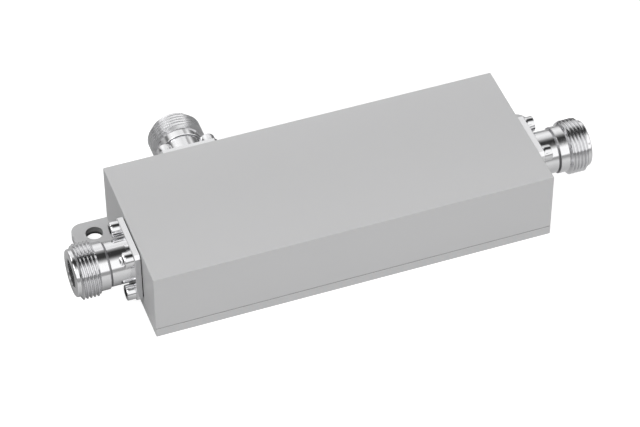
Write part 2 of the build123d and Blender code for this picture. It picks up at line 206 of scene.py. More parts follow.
def vary_roughness(tree, shader, drift, low, high):
    """Spreads the tone drift's mask, which lies between MASK_LOW and MASK_HIGH, over a range of roughness."""
    roughness = add_range(tree, drift.outputs["Mask"], MASK_LOW, MASK_HIGH, low, high)
    feed(tree, shader.inputs["Roughness"], roughness)


def add_relief(tree, shader, height, depth):
    """Raises the surface by a height mask times a depth in metres."""
    bump = tree.nodes.new("ShaderNodeBump")
    bump.inputs["Distance"].default_value = depth
    feed(tree, bump.inputs["Height"], height)
    feed(tree, shader.inputs["Normal"], bump.outputs["Normal"])


def make_joint_line():
    """The dark line of the joint between the block and its cover plate, along the two long sides."""
    group, entry, result = new_group(
        "Joint line",
        {
            "Vector": ("Vector", None),
            "Colour": ("Color", (0.5, 0.5, 0.5, 1)),
            "Line": ("Color", (0.2, 0.2, 0.2, 1)),
        },
        {"Colour": "Color"},
    )
    x, _, z = split_axes(group, entry.outputs["Vector"])
    away = add_math(group, "ABSOLUTE", add_math(group, "SUBTRACT", z, PLATE_THICKNESS))
    on_joint = add_math(group, "LESS_THAN", away, JOINT_WIDTH / 2)
    between_ends = add_math(group, "LESS_THAN", add_math(group, "ABSOLUTE", x), JOINT_END)
    mask = multiply(group, on_joint, between_ends)
    lined = lay_colour(group, mask, entry.outputs["Colour"], entry.outputs["Line"])
    feed(group, result.inputs["Colour"], lined)
    return group


joint_line = make_joint_line()


def make_sprayed_coat(name):
    """Smooth sprayed coat: an even tone, a satin surface, a faint orange peel and the dark joint line."""
    material, tree, shader, place, drift = new_finish(name, COAT_TINT, clouds=45, specks=2600, amount=0.012)
    vary_roughness(tree, shader, drift, low=0.40, high=0.50)
    add_relief(tree, shader, add_noise(tree, place, scale=1500, detail=3), depth=0.012 * MM)
    values = {"Vector": place, "Colour": drift.outputs["Colour"], "Line": (*JOINT_TINT, 1)}
    line = place_group(tree, joint_line, values)
    feed(tree, shader.inputs["Base Color"], line.outputs["Colour"])
    return material


def finish_nodes(material, *names):
    """Gives CAD pieces, which keep their shape, a real finish."""
    for name in names:
        nodes[name].material_slots[0].material = material


finish_nodes(make_sprayed_coat("housing_coat"), "housing")


# Conductors in the cavity
# A round rod carries the signal straight through, and a stepped bar beside it picks up a small share.
# Both are silver-plated brass, and two white blocks hold them apart.

SILVER_TINT = (0.86, 0.85, 0.82)
BEAD_TINT = (0.86, 0.86, 0.84)
BEAD_GLOW_DEPTH = (0.8 * MM, 0.8 * MM, 0.7 * MM)


def make_metal(name, tint, low_roughness, high_roughness, relief=0.004 * MM):
    """Plain metal with a slight change of tone and gloss from place to place."""
    material, tree, shader, place, drift = new_finish(name, tint, clouds=120, specks=4000, amount=0.04)
    shader.inputs["Metallic"].default_value = 1
    vary_roughness(tree, shader, drift, low_roughness, high_roughness)
    add_relief(tree, shader, add_noise(tree, place, scale=4000, detail=2), relief)
    return material


def make_white_bead(name):
    """Turned white plastic of the beads and supports: waxy, with light going a little way in."""
    material, tree, shader, place, drift = new_finish(name, BEAD_TINT, clouds=150, specks=2500, amount=0.015)
    shader.inputs["Subsurface Weight"].default_value = 0.25
    shader.inputs["Subsurface Radius"].default_value = BEAD_GLOW_DEPTH
    shader.inputs["Subsurface Scale"].default_value = 1
    vary_roughness(tree, shader, drift, low=0.42, high=0.55)
    add_relief(tree, shader, add_noise(tree, place, scale=3500, detail=2), depth=0.006 * MM)
    return material


silver_plate = make_metal("silver_plated_line", SILVER_TINT, low_roughness=0.22, high_roughness=0.34)
white_bead = make_white_bead("white_bead")
finish_nodes(silver_plate, "main_line", "coupled_line")
finish_nodes(white_bead, "line_support_input", "line_support_output")


# Termination load
# The far end of the bar stops in a small ceramic resistor on a nickel-plated flange, which two screws
# hold against a raised pad. The coupler would send power back without it.

NICKEL_TINT = (0.72, 0.70, 0.66)
CERAMIC_TINT = (0.88, 0.87, 0.84)


def make_ceramic(name):
    """White fired ceramic: hard, fine-grained and a little glossy."""
    material, tree, shader, place, drift = new_finish(
        name, CERAMIC_TINT, clouds=300, specks=6000, amount=0.02
    )
    vary_roughness(tree, shader, drift, low=0.25, high=0.4)
    add_relief(tree, shader, add_noise(tree, place, scale=6000, detail=2), depth=0.003 * MM)
    return material


nickel_plate = make_metal("load_flange_nickel", NICKEL_TINT, low_roughness=0.28, high_roughness=0.4)
finish_nodes(nickel_plate, "load_flange")
finish_nodes(make_ceramic("load_ceramic"), "load_resistor")
finish_nodes(silver_plate, "load_tab")


# Gaskets
# A thin black rubber sheet is clamped between each jack's flange and its wall, and shows as a dark line.

RUBBER_TINT = (0.03, 0.03, 0.03)
PORTS = {"input": Vector((-1, 0, 0)), "output": Vector((1, 0, 0)), "coupled": Vector((0, 1, 0))}


def make_rubber(name):
    """Black sheet rubber with a matt, slightly dusty face."""
    material, tree, shader, place, drift = new_finish(name, RUBBER_TINT, clouds=200, specks=5000, amount=0.12)
    vary_roughness(tree, shader, drift, low=0.6, high=0.8)
    add_relief(tree, shader, add_noise(tree, place, scale=5000, detail=3), depth=0.01 * MM)
    return material


finish_nodes(make_rubber("gasket_rubber"), *(f"{port}_gasket" for port in PORTS))


# Jacks
# Each jack's body is turned from brass bar with its square flange in one piece, bored through, cut with a
# 5/8-24 thread for the plug's nut, and plated bright. Four screws through the flange hold it to its wall.

jack_low, jack_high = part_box("input_connector")
FLANGE_SIDE = jack_high.y - jack_low.y
JACK_LENGTH = jack_high.x - jack_low.x
FLANGE_THICKNESS = 1.7 * MM
FLANGE_CORNER = 1.4 * MM
FLANGE_EDGE = 0.15 * MM
SCREW_SPACING = 12.7 * MM
SCREW_HOLE = 2.7 * MM
BARREL = 12.8 * MM
BARREL_LENGTH = 5.85 * MM
BARREL_EDGE = 0.12 * MM
GROOVE = 12.1 * MM
GROOVE_WIDTH = 0.45 * MM
COLLAR = 13.7 * MM
COLLAR_LENGTH = 2.7 * MM
COLLAR_EDGE = 0.12 * MM
THREAD = 15.875 * MM
THREAD_PITCH = 25.4 * MM / 24
THREAD_RUNOUT = 0.6 * MM
THREAD_LENGTH = 4.7 * MM
THREAD_LEAD = 0.55 * MM
NOSE = 13.6 * MM
NOSE_ROUND = 0.5 * MM
NOSE_STEPS = 5
MOUTH = 8.2 * MM
MOUTH_DEPTH = 9.1 * MM
MOUTH_EDGE = 0.3 * MM
LINE_BORE = 7.0 * MM
LINE_BORE_LENGTH = 1.4 * MM
BEAD_SEAT = 10.0 * MM
SPARE = 0.5 * MM

# Where each band starts along the jack, from the back of its flange
GROOVE_START = FLANGE_THICKNESS + BARREL_LENGTH
COLLAR_START = GROOVE_START + GROOVE_WIDTH
COLLAR_END = COLLAR_START + COLLAR_LENGTH
THREAD_START = COLLAR_END + THREAD_RUNOUT
THREAD_END = THREAD_START + THREAD_LENGTH
NOSE_START = THREAD_END + THREAD_LEAD

# The thread's groove, in pitches where no unit is given
THREAD_DEPTH = 0.6134
GROOVE_TOOL_REACH = 0.3
HALF_THREAD_ANGLE = radians(30)
FIRST_GROOVE = 1.41
JACK_TURNS = 7
JACK_TURN_STEPS = 96

# Sides of the round forms, and the sharpest bend that is shaded smooth
JACK_SIDES = 128
BORE_SIDES = 96
HOLE_SIDES = 32
SMOOTH_ANGLE = radians(25)

# The four screws stand in a square round the jack's axis
half = SCREW_SPACING / 2
SCREW_PLACES = [(x, y) for x in (-half, half) for y in (-half, half)]


def turn(name, outline, sides):
    """Turns a solid about the Z axis: a disc is drawn up and scaled along the points of half its section."""
    bpy.ops.object.select_all(action="DESELECT")
    radius, level = outline[0]
    bpy.ops.mesh.primitive_circle_add(vertices=sides, radius=radius, fill_type="NGON", location=(0, 0, level))
    piece = bpy.context.object
    piece.name = name
    bpy.ops.object.transform_apply(location=True)
    bpy.ops.object.mode_set(mode="EDIT")
    bpy.ops.mesh.select_all(action="SELECT")
    for next_radius, next_level in outline[1:]:
        ratio = next_radius / radius
        bpy.ops.mesh.extrude_region_move(TRANSFORM_OT_translate={"value": (0, 0, next_level - level)})
        bpy.ops.transform.resize(value=(ratio, ratio, 1), center_override=(0, 0, 0))
        radius, level = next_radius, next_level
    bpy.ops.mesh.select_all(action="SELECT")
    bpy.ops.mesh.normals_make_consistent(inside=False)
    bpy.ops.object.mode_set(mode="OBJECT")
    return piece


def select_only(piece):
    """Selects one piece and nothing else."""
    bpy.ops.object.select_all(action="DESELECT")
    piece.select_set(True)
    bpy.context.view_layer.objects.active = piece


def pick_edges(piece, wanted):
    """Opens a piece in edit mode with the edges selected whose two ends pass the test."""
    select_only(piece)
    bpy.ops.object.mode_set(mode="EDIT")
    bpy.ops.mesh.select_mode(type="EDGE")
    bpy.ops.mesh.select_all(action="DESELECT")
    bpy.ops.object.mode_set(mode="OBJECT")
    for edge in piece.data.edges:
        first, second = (piece.data.vertices[i].co for i in edge.vertices)
        edge.select = wanted(first, second)
    bpy.ops.object.mode_set(mode="EDIT")


def combine(piece, other, operation):
    """Cuts another solid away from a piece, or unites it with the piece, and removes it."""
    select_only(piece)
    modifier = piece.modifiers.new("combine", "BOOLEAN")
    modifier.operation = operation
    modifier.solver = "EXACT"
    modifier.object = other
    bpy.ops.object.modifier_apply(modifier=modifier.name)
    bpy.data.objects.remove(other, do_unlink=True)


def shade_smooth(piece):
    """Shades a piece's gentle bends smooth and leaves its edges sharp."""
    select_only(piece)
    bpy.ops.object.shade_smooth_by_angle(angle=SMOOTH_ANGLE)


def groove_tool(name, diameter, pitch, first_level, turns, steps):
    """The screw-shaped bar that a 60 degree thread groove is cut with, from root to outside the thread."""
    root = diameter / 2 - THREAD_DEPTH * pitch
    outside = diameter / 2 + GROOVE_TOOL_REACH * pitch
    root_flat = pitch / 6
    open_width = root_flat + 2 * (outside - root) * tan(HALF_THREAD_ANGLE)
    bpy.ops.object.select_all(action="DESELECT")
    bpy.ops.mesh.primitive_plane_add(size=1, rotation=(pi / 2, 0, 0))
    tool = bpy.context.object
    tool.name = name
    bpy.ops.object.transform_apply(rotation=True)
    bpy.ops.object.mode_set(mode="EDIT")
    bpy.ops.mesh.select_all(action="SELECT")
    bpy.ops.transform.resize(value=(outside - root, 1, open_width))
    bpy.ops.transform.translate(value=((outside + root) / 2, 0, first_level))
    bpy.ops.object.mode_set(mode="OBJECT")
    pick_edges(tool, lambda a, b: max(a.x, b.x) < (outside + root) / 2)
    bpy.ops.transform.resize(value=(1, 1, root_flat / open_width), center_override=(0, 0, first_level))
    bpy.ops.mesh.select_all(action="SELECT")
    bpy.ops.mesh.delete(type="ONLY_FACE")
    bpy.ops.object.mode_set(mode="OBJECT")
    modifier = tool.modifiers.new("screw", "SCREW")
    modifier.axis = "Z"
    modifier.angle = 2 * pi
    modifier.screw_offset = pitch
    modifier.iterations = turns
    modifier.steps = steps
    modifier.render_steps = steps
    bpy.ops.object.modifier_apply(modifier=modifier.name)
    bpy.ops.object.mode_set(mode="EDIT")
    bpy.ops.mesh.select_all(action="SELECT")
    bpy.ops.mesh.fill_holes(sides=0)
    bpy.ops.mesh.select_all(action="SELECT")
    bpy.ops.mesh.normals_make_consistent(inside=False)
    bpy.ops.object.mode_set(mode="OBJECT")
    return tool


def make_flange():
    """The square plate of a jack, with its corners cut and the edge of its front face broken."""
    bpy.ops.object.select_all(action="DESELECT")
    bpy.ops.mesh.primitive_cube_add(size=1, location=(0, 0, FLANGE_THICKNESS / 2))
    flange = bpy.context.object
    flange.scale = (FLANGE_SIDE, FLANGE_SIDE, FLANGE_THICKNESS)
    bpy.ops.object.transform_apply(location=True, scale=True)
    pick_edges(flange, lambda a, b: abs(a.z - b.z) > FLANGE_THICKNESS / 2)
    bpy.ops.mesh.bevel(offset=FLANGE_CORNER, segments=1, affect="EDGES", offset_type="WIDTH")
    bpy.ops.object.mode_set(mode="OBJECT")
    pick_edges(flange, lambda a, b: min(a.z, b.z) > FLANGE_THICKNESS / 2)
    bpy.ops.mesh.bevel(offset=FLANGE_EDGE, segments=1, affect="EDGES")
    bpy.ops.object.mode_set(mode="OBJECT")
    return flange


def make_jack():
    """One jack's body on the Z axis, with the back of its flange at zero and its mouth on top."""
    outline = [
        (BARREL / 2, FLANGE_THICKNESS / 2),
        (BARREL / 2, GROOVE_START - BARREL_EDGE),
        (GROOVE / 2, GROOVE_START),
        (GROOVE / 2, COLLAR_START),
        (COLLAR / 2 - COLLAR_EDGE, COLLAR_START),
        (COLLAR / 2, COLLAR_START + COLLAR_EDGE),
        (COLLAR / 2, COLLAR_END),
        (THREAD / 2, THREAD_START),
        (THREAD / 2, THREAD_END),
        (NOSE / 2, NOSE_START),
    ]
    for step in range(NOSE_STEPS + 1):
        angle = step / NOSE_STEPS * pi / 2
        radius = NOSE / 2 - NOSE_ROUND * (1 - cos(angle))
        outline.append((radius, JACK_LENGTH - NOSE_ROUND * (1 - sin(angle))))
    barrel = turn("jack_barrel", outline, JACK_SIDES)
    jack = make_flange()
    combine(jack, barrel, "UNION")
    mouth_floor = JACK_LENGTH - MOUTH_DEPTH
    bead_face = mouth_floor - LINE_BORE_LENGTH
    bore = [
        (BEAD_SEAT / 2, -SPARE),
        (BEAD_SEAT / 2, bead_face),
        (LINE_BORE / 2, bead_face),
        (LINE_BORE / 2, mouth_floor),
        (MOUTH / 2, mouth_floor),
        (MOUTH / 2, JACK_LENGTH - MOUTH_EDGE),
        (MOUTH / 2 + MOUTH_EDGE + SPARE, JACK_LENGTH + SPARE),
    ]
    combine(jack, turn("jack_bore", bore, BORE_SIDES), "DIFFERENCE")
    hole_outline = [(SCREW_HOLE / 2, -SPARE), (SCREW_HOLE / 2, FLANGE_THICKNESS + SPARE)]
    for x, y in SCREW_PLACES:
        hole = turn("jack_hole", hole_outline, HOLE_SIDES)
        hole.location = (x, y, 0)
        combine(jack, hole, "DIFFERENCE")
    first_level = COLLAR_END - FIRST_GROOVE * THREAD_PITCH
    tool = groove_tool("jack_thread_tool", THREAD, THREAD_PITCH, first_level, JACK_TURNS, JACK_TURN_STEPS)
    combine(jack, tool, "DIFFERENCE")
    shade_smooth(jack)
    return jack


def add_distance(tree, across, along):
    """The distance from an axis, by the two sides of the right angle."""
    squares = add_math(tree, "ADD", multiply(tree, across, across), multiply(tree, along, along))
    return add_math(tree, "SQRT", squares)


def make_turning_marks():
    """The fine rings that a lathe tool leaves round the Z axis, on faces and on cylinders alike."""
    group, entry, result = new_group(
        "Turning marks",
        {"Vector": ("Vector", None), "Rings": ("Float", 8000.0)},
        {"Height": "Float"},
    )
    x, y, z = split_axes(group, entry.outputs["Vector"])
    rings = group.nodes.new("ShaderNodeTexNoise")
    rings.noise_dimensions = "1D"
    feed(group, rings.inputs["W"], add_math(group, "ADD", z, add_distance(group, x, y)))
    feed(group, rings.inputs["Scale"], entry.outputs["Rings"])
    feed(group, result.inputs["Height"], rings.outputs["Fac"])
    return group


turning_marks = make_turning_marks()

# The painted shade in the groove and thread roots fades out a little under the thread's crests, and the film
# takes some of the metal's shine
PAINTED_SHADE_TINT = (0.33, 0.33, 0.34)
PAINTED_SHADE_ROUGHNESS = 0.45
SHADE_FADE_BELOW_CREST = 0.2 * MM
MOUTH_FILM = 0.05
WALL_MARGIN = 0.02 * MM
BORE_MARGIN = 0.5 * MM


def add_window(tree, value, low, high):
    """A mask that is 1 between two levels and 0 outside them."""
    above = add_math(tree, "GREATER_THAN", value, low)
    return multiply(tree, above, add_math(tree, "LESS_THAN", value, high))


def one_minus(tree, value):
    """What a value leaves of 1."""
    return add_math(tree, "SUBTRACT", 1, value)


def make_jack_painted_shade():
    """Painted shade, with more roughness, in a jack's groove and thread roots, a thread without ring marks,
    and a film on the mouth's wall.
    """
    group, entry, result = new_group(
        "Jack painted shade",
        {
            "Vector": ("Vector", None),
            "Colour": ("Color", (0.8, 0.8, 0.8, 1)),
            "Roughness": ("Float", 0.1),
            "Height": ("Float", 0.5),
            "Groove shade": ("Float", 1.0),
            "Root shade": ("Float", 0.2),
            "Thread roughness": ("Float", 0.0),
        },
        {"Colour": "Color", "Roughness": "Float", "Metallic": "Float", "Height": "Float"},
    )
    x, y, z = split_axes(group, entry.outputs["Vector"])
    radius = add_distance(group, x, y)
    outside_bore = add_math(group, "GREATER_THAN", radius, MOUTH / 2 + BORE_MARGIN)
    in_thread = multiply(group, add_window(group, z, COLLAR_END, NOSE_START), outside_bore)
    root_radius = THREAD / 2 - THREAD_DEPTH * THREAD_PITCH
    in_root = add_range(group, radius, root_radius, THREAD / 2 - SHADE_FADE_BELOW_CREST, 1, 0)
    in_groove = add_window(group, z, GROOVE_START - WALL_MARGIN, COLLAR_START)
    groove_shade = multiply(group, in_groove, entry.outputs["Groove shade"])
    root_shade = multiply(group, in_thread, in_root, entry.outputs["Root shade"])
    # Painted shade: darker and rougher in the groove and at the thread's roots
    painted_shade = add_math(group, "MAXIMUM", groove_shade, root_shade)
    dull = add_math(group, "MAXIMUM", entry.outputs["Roughness"], multiply(group, painted_shade, PAINTED_SHADE_ROUGHNESS))
    thread_dull = multiply(group, in_thread, entry.outputs["Thread roughness"])
    film = multiply(group, add_math(group, "LESS_THAN", radius, MOUTH / 2 + WALL_MARGIN), MOUTH_FILM)
    height = multiply(group, entry.outputs["Height"], one_minus(group, in_thread))
    feed(group, result.inputs["Colour"], lay_colour(group, painted_shade, entry.outputs["Colour"], (*PAINTED_SHADE_TINT, 1)))
    feed(group, result.inputs["Roughness"], add_math(group, "MAXIMUM", dull, thread_dull))
    feed(group, result.inputs["Metallic"], one_minus(group, film))
    feed(group, result.inputs["Height"], height)
    return group


jack_painted_shade = make_jack_painted_shade()


def port_place(port):
    """Where a jack's axis meets the back of its flange, and the turn that points +Z out of the box."""
    low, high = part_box(f"{port}_connector")
    outward = PORTS[port]
    reach = abs((high - low).dot(outward)) / 2
    return (low + high) / 2 - outward * reach, outward.to_track_quat("Z", "Y")


def make_turned_metal(name, port, tint, low_roughness, high_roughness, depth, painted_shade=None):
    """Metal turned round a port's axis: ring marks, an uneven gloss and, where it is given, a jack's painted
    shade in its groove and thread roots.
    """
    material, tree, shader, place, drift = new_finish(name, tint, clouds=160, specks=5000, amount=0.03)
    shader.inputs["Metallic"].default_value = 1
    start, turned = port_place(port)
    centre = tree.nodes.new("ShaderNodeMapping")
    centre.vector_type = "TEXTURE"
    centre.inputs["Location"].default_value = start
    centre.inputs["Rotation"].default_value = turned.to_euler()
    feed(tree, centre.inputs["Vector"], place)
    on_axis = centre.outputs["Vector"]
    vary_roughness(tree, shader, drift, low_roughness, high_roughness)
    height = place_group(tree, turning_marks, {"Vector": on_axis}).outputs["Height"]
    # The jack's painted shade in its groove and thread roots, where it is given
    if painted_shade:
        values = {
            "Vector": on_axis,
            "Colour": drift.outputs["Colour"],
            "Roughness": shader.inputs["Roughness"].links[0].from_socket,
            "Height": height,
        }
        with_shade = place_group(tree, jack_painted_shade, values | painted_shade)
        height = with_shade.outputs["Height"]
        feed(tree, shader.inputs["Base Color"], with_shade.outputs["Colour"])
        feed(tree, shader.inputs["Roughness"], with_shade.outputs["Roughness"])
        feed(tree, shader.inputs["Metallic"], with_shade.outputs["Metallic"])
    add_relief(tree, shader, height, depth)
    return material


def copy_to_port(model, name, port, material):
    """A copy of a piece modelled on the Z axis, with its own mesh, moved to a port and finished."""
    start, turned = port_place(port)
    piece = model.copy()
    piece.data = model.data.copy()
    piece.name = name
    bpy.context.collection.objects.link(piece)
    piece.data.transform(turned.to_matrix().to_4x4())
    piece.data.transform(Matrix.Translation(start))
    piece.data.materials.clear()
    piece.data.materials.append(material)
    return piece


PLATING_TINT = (0.80, 0.80, 0.81)
# Painted shade in each jack's groove and thread roots, port by port: the coupled jack's groove stays almost
# light
JACK_PAINTED_SHADE = {
    "input": {"Groove shade": 1.0, "Root shade": 0.15, "Thread roughness": 0.0},
    "output": {"Groove shade": 1.0, "Root shade": 0.3, "Thread roughness": 0.0},
    "coupled": {"Groove shade": 0.1, "Root shade": 0.05, "Thread roughness": 0.18},
}
jack_model = make_jack()
for port in PORTS:
    plating = make_turned_metal(
        f"{port}_plating",
        port,
        PLATING_TINT,
        low_roughness=0.08,
        high_roughness=0.15,
        depth=0.002 * MM,
        painted_shade=JACK_PAINTED_SHADE[port],
    )
    jack = copy_to_port(jack_model, f"{port}_jack", port, plating)
    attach(jack, "root")
    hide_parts(f"{port}_connector")
bpy.data.objects.remove(jack_model, do_unlink=True)


# Beads and centre contacts
# A white bead is pushed into each jack from behind, and it holds the centre contact, whose slotted socket
# takes the plug's pin. The contact's tail goes through the wall into the cavity.

CONTACT_TINT = (0.84, 0.83, 0.80)
for port in PORTS:
    contact_plating = make_turned_metal(
        f"{port}_contact_plating",
        port,
        CONTACT_TINT,
        low_roughness=0.12,
        high_roughness=0.2,
        depth=0.001 * MM,
    )
    finish_nodes(contact_plating, f"{port}_contact")
    finish_nodes(white_bead, f"{port}_insulator")


# Flange screws
# Four stainless M2.5 socket head screws hold each jack. Their heads are turned, with a six-sided socket.

SCREW_TINT = (0.76, 0.76, 0.77)
SCREW_DIAMETER = 2.5 * MM
SCREW_PITCH = 0.45 * MM
SCREW_LENGTH = 6.0 * MM
PLAIN_SHANK = 1.2 * MM
HEAD_DIAMETER = 4.5 * MM
HEAD_HEIGHT = 2.5 * MM
HEAD_EDGE = 0.2 * MM
HEX_ACROSS = 2.25 * MM
HEX_DEPTH = 1.25 * MM
SCREW_SIDES = 64
SCREW_TURN_STEPS = 24

# The middle of the head's round edge, as a share of it, and the socket's point, as shares of its radius
HEAD_EDGE_MIDDLE = 0.3
HEX_POINT = 0.25
HEX_POINT_END = 0.05


def hex_tool(across_flats, depth, top):
    """The six-sided bar, with a pointed end, that a hexagon socket is cut with."""
    radius = across_flats / sqrt(3)
    floor_level = top - depth
    outline = [
        (radius * HEX_POINT_END, floor_level - HEX_POINT * radius),
        (radius, floor_level),
        (radius, top + SPARE),
    ]
    return turn("hex_tool", outline, 6)


def make_flange_screw():
    """One socket head screw on the Z axis, with the underside of its head at zero."""
    outline = [
        (SCREW_DIAMETER / 2 - SCREW_PITCH / 2, -SCREW_LENGTH),
        (SCREW_DIAMETER / 2, SCREW_PITCH / 2 - SCREW_LENGTH),
        (SCREW_DIAMETER / 2, 0),
        (HEAD_DIAMETER / 2 - HEAD_EDGE / 4, 0),
        (HEAD_DIAMETER / 2, HEAD_EDGE / 4),
        (HEAD_DIAMETER / 2, HEAD_HEIGHT - HEAD_EDGE),
        (HEAD_DIAMETER / 2 - HEAD_EDGE * HEAD_EDGE_MIDDLE, HEAD_HEIGHT - HEAD_EDGE * HEAD_EDGE_MIDDLE),
        (HEAD_DIAMETER / 2 - HEAD_EDGE, HEAD_HEIGHT),
    ]
    screw = turn("flange_screw", outline, SCREW_SIDES)
    combine(screw, hex_tool(HEX_ACROSS, HEX_DEPTH, HEAD_HEIGHT), "DIFFERENCE")
    turns = int((SCREW_LENGTH - PLAIN_SHANK) / SCREW_PITCH)
    first_level = -SCREW_LENGTH - SCREW_PITCH / 2
    tool = groove_tool("screw_thread_tool", SCREW_DIAMETER, SCREW_PITCH, first_level, turns, SCREW_TURN_STEPS)
    combine(screw, tool, "DIFFERENCE")
    shade_smooth(screw)
    return screw


def make_screw_set(model, places):
    """One piece of several copies of a screw, each at its own place."""
    bpy.ops.object.select_all(action="DESELECT")
    for place in places:
        one = model.copy()
        one.data = model.data.copy()
        bpy.context.collection.objects.link(one)
        one.data.transform(Matrix.Translation(Vector(place)))
        one.select_set(True)
        bpy.context.view_layer.objects.active = one
    bpy.ops.object.join()
    return bpy.context.object


screw_steel = make_metal(
    "screw_steel", SCREW_TINT, low_roughness=0.05, high_roughness=0.10, relief=0.0008 * MM
)
screw_model = make_flange_screw()
screw_set = make_screw_set(screw_model, [(x, y, FLANGE_THICKNESS) for x, y in SCREW_PLACES])
for port in PORTS:
    screws = copy_to_port(screw_set, f"{port}_flange_screws", port, screw_steel)
    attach(screws, "root")
    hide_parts(f"{port}_screws")
bpy.data.objects.remove(screw_set, do_unlink=True)
bpy.data.objects.remove(screw_model, do_unlink=True)
finish_nodes(screw_steel, "load_screws")


# Cover plate and its screws
# A flat aluminium plate closes the cavity from below. Its two fixing ears stand out past the ends, and
# their holes are drilled after the coat is sprayed, so their walls are bare. Eight screws hold it.

HOLE_WALL_MARGIN = 0.04 * MM
# Tones of the painted shade on the bare hole walls
INNER_WALL_TONE = 0.72
OUTER_WALL_TONE = 0.22
WALL_FOOT = 0.8 * MM
FOOT_SHADE_TOP = 1.7 * MM
FOOT_SHADE_TONE = 0.05


def make_plate_coat(name):
    """The sprayed coat, with bare metal on the fixing holes' walls, and painted shade that darkens the walls
    outwards and at the foot.
    """
    material = make_sprayed_coat(name)
    tree = material.node_tree
    shader = tree.nodes["Principled BSDF"]
    holes = next(mount for mount in frame["record"]["mounts"] if mount["name"] == "ear_holes")
    hole_x = holes["dims"]["spacing_x_mm"] * MM / 2
    hole_y = holes["pos_m"][1]
    hole_radius = holes["dims"]["hole_r_mm"] * MM
    x, y, z = split_axes(tree, tree.nodes.new("ShaderNodeTexCoord").outputs["Object"])
    across = add_math(tree, "SUBTRACT", add_math(tree, "ABSOLUTE", x), hole_x)
    away = add_distance(tree, across, add_math(tree, "SUBTRACT", y, hole_y))
    bare = add_math(tree, "LESS_THAN", away, hole_radius + HOLE_WALL_MARGIN)
    # Painted shade on the bare walls: darker outwards, and nearly black at the foot
    tone = multiply(
        tree,
        add_range(tree, across, -hole_radius, hole_radius, INNER_WALL_TONE, OUTER_WALL_TONE),
        add_range(tree, z, WALL_FOOT, FOOT_SHADE_TOP, FOOT_SHADE_TONE, 1),
    )
    coat = shader.inputs["Base Color"].links[0].from_socket
    feed(tree, shader.inputs["Base Color"], lay_colour(tree, bare, coat, tone))
    feed(tree, shader.inputs["Metallic"], bare)
    return material


finish_nodes(make_plate_coat("plate_coat"), "cover_plate")
finish_nodes(screw_steel, "cover_screws")


# Studio
# White paper under the part, a lit card behind it, softboxes and lamps round it with a dark gap overhead,
# and the photograph's viewpoint. The bright metal mirrors all of it. None of it belongs to the part.

FLOOR_SIZE = 6
FLOOR_GAP = 0.02 * MM
SHADE_DEPTH = 0.24
GLOW_LOST_BEHIND = 0.9
LIGHT_ON_PAPER = 0.35
CARD_PLACE = (-0.05, 0.069, 0.12)
CARD_SIZE = (0.30, 0.022, 1)


def make_patch(tree, *edges):
    """A patch of light or shade with soft edges: the product of its ranges, one for each edge."""
    return multiply(tree, *(add_range(tree, *edge) for edge in edges))


def highest(tree, first, *others):
    """The highest of two or more values."""
    for value in others:
        first = add_math(tree, "MAXIMUM", first, value)
    return first


def add_bands(tree, value, stops, top):
    """Turns a value from 0 to 1 into a level, by (place, level) stops. No level is above top."""
    node = tree.nodes.new("ShaderNodeValToRGB")
    feed(tree, node.inputs["Fac"], value)
    elements = node.color_ramp.elements
    while len(elements) < len(stops):
        elements.new(0.5)
    for element, (place, level) in zip(elements, stops):
        element.position = place
        element.color = (level / top, level / top, level / top, 1)
    return multiply(tree, node.outputs["Color"], top)


bpy.ops.object.select_all(action="DESELECT")
bpy.ops.mesh.primitive_plane_add(size=FLOOR_SIZE, location=(0, 0, cad_box[0].z - FLOOR_GAP))
floor = bpy.context.object
floor.name = "floor"
bpy.ops.object.transform_apply(location=True)

paper = bpy.data.materials.new("floor_paper")
paper.use_nodes = True
tree = paper.node_tree
shader = tree.nodes["Principled BSDF"]
shader.inputs["Roughness"].default_value = 1
shader.inputs["Specular IOR Level"].default_value = 0
shader.inputs["Emission Color"].default_value = (1, 1, 1, 1)
x, y, _ = split_axes(tree, tree.nodes.new("ShaderNodeTexCoord").outputs["Object"])

# The paper's tone, darker towards the left, with a painted shadow behind the box and past its right end. Each
# edge is a value, from where to where in metres, and its level at either place
past_right_end = make_patch(tree, (x, 0.08, 0.13, 0, 1), (y, 0.0, 0.05, 0, 1))
behind_box = make_patch(tree, (x, -0.045, -0.02, 0, 1), (x, 0.075, 0.095, 1, 0), (y, 0.03, 0.045, 0, 1))
shade = multiply(tree, highest(tree, past_right_end, behind_box), SHADE_DEPTH)
tone = add_math(tree, "SUBTRACT", add_range(tree, x, -0.10, -0.05, 0.17, 0.36), shade)
feed(tree, shader.inputs["Base Color"], tone)

# Painted light: patches where the paper glows for every ray but the camera's, which light the part and which
# the bright metal mirrors
before_box = make_patch(
    tree,
    (y, -0.045, -0.015, 0.44, 0.29),
    (y, -0.24, -0.16, 0.15, 1.0),
    (y, -0.006, 0.006, 1.0, 0.5),
    (x, 0.084, 0.105, 1.0, 0.5),
)
near_left_end = make_patch(tree, (x, -0.062, -0.05, 1, 0), (y, -0.018, -0.004, 0, 1), (y, 0.01, 0.03, 1, 0))
under_right_jack = make_patch(tree, (x, 0.045, 0.06, 0, 0.25), (y, -0.01, 0.004, 0, 1), (x, 0.1, 0.13, 1, 0))
left_of_mouth = make_patch(
    tree,
    (x, -0.0785, -0.0775, 0.17, 0),
    (y, -0.010, 0.006, 0.8, 1),
    (x, -0.11, -0.09, 0, 1),
)
mirrored_glow = multiply(tree, before_box, one_minus(tree, near_left_end))
mirrored_glow = add_math(tree, "ADD", mirrored_glow, under_right_jack)
mirrored_glow = add_math(tree, "ADD", mirrored_glow, left_of_mouth)
mirrored_glow = multiply(tree, mirrored_glow, one_minus(tree, multiply(tree, behind_box, GLOW_LOST_BEHIND)))

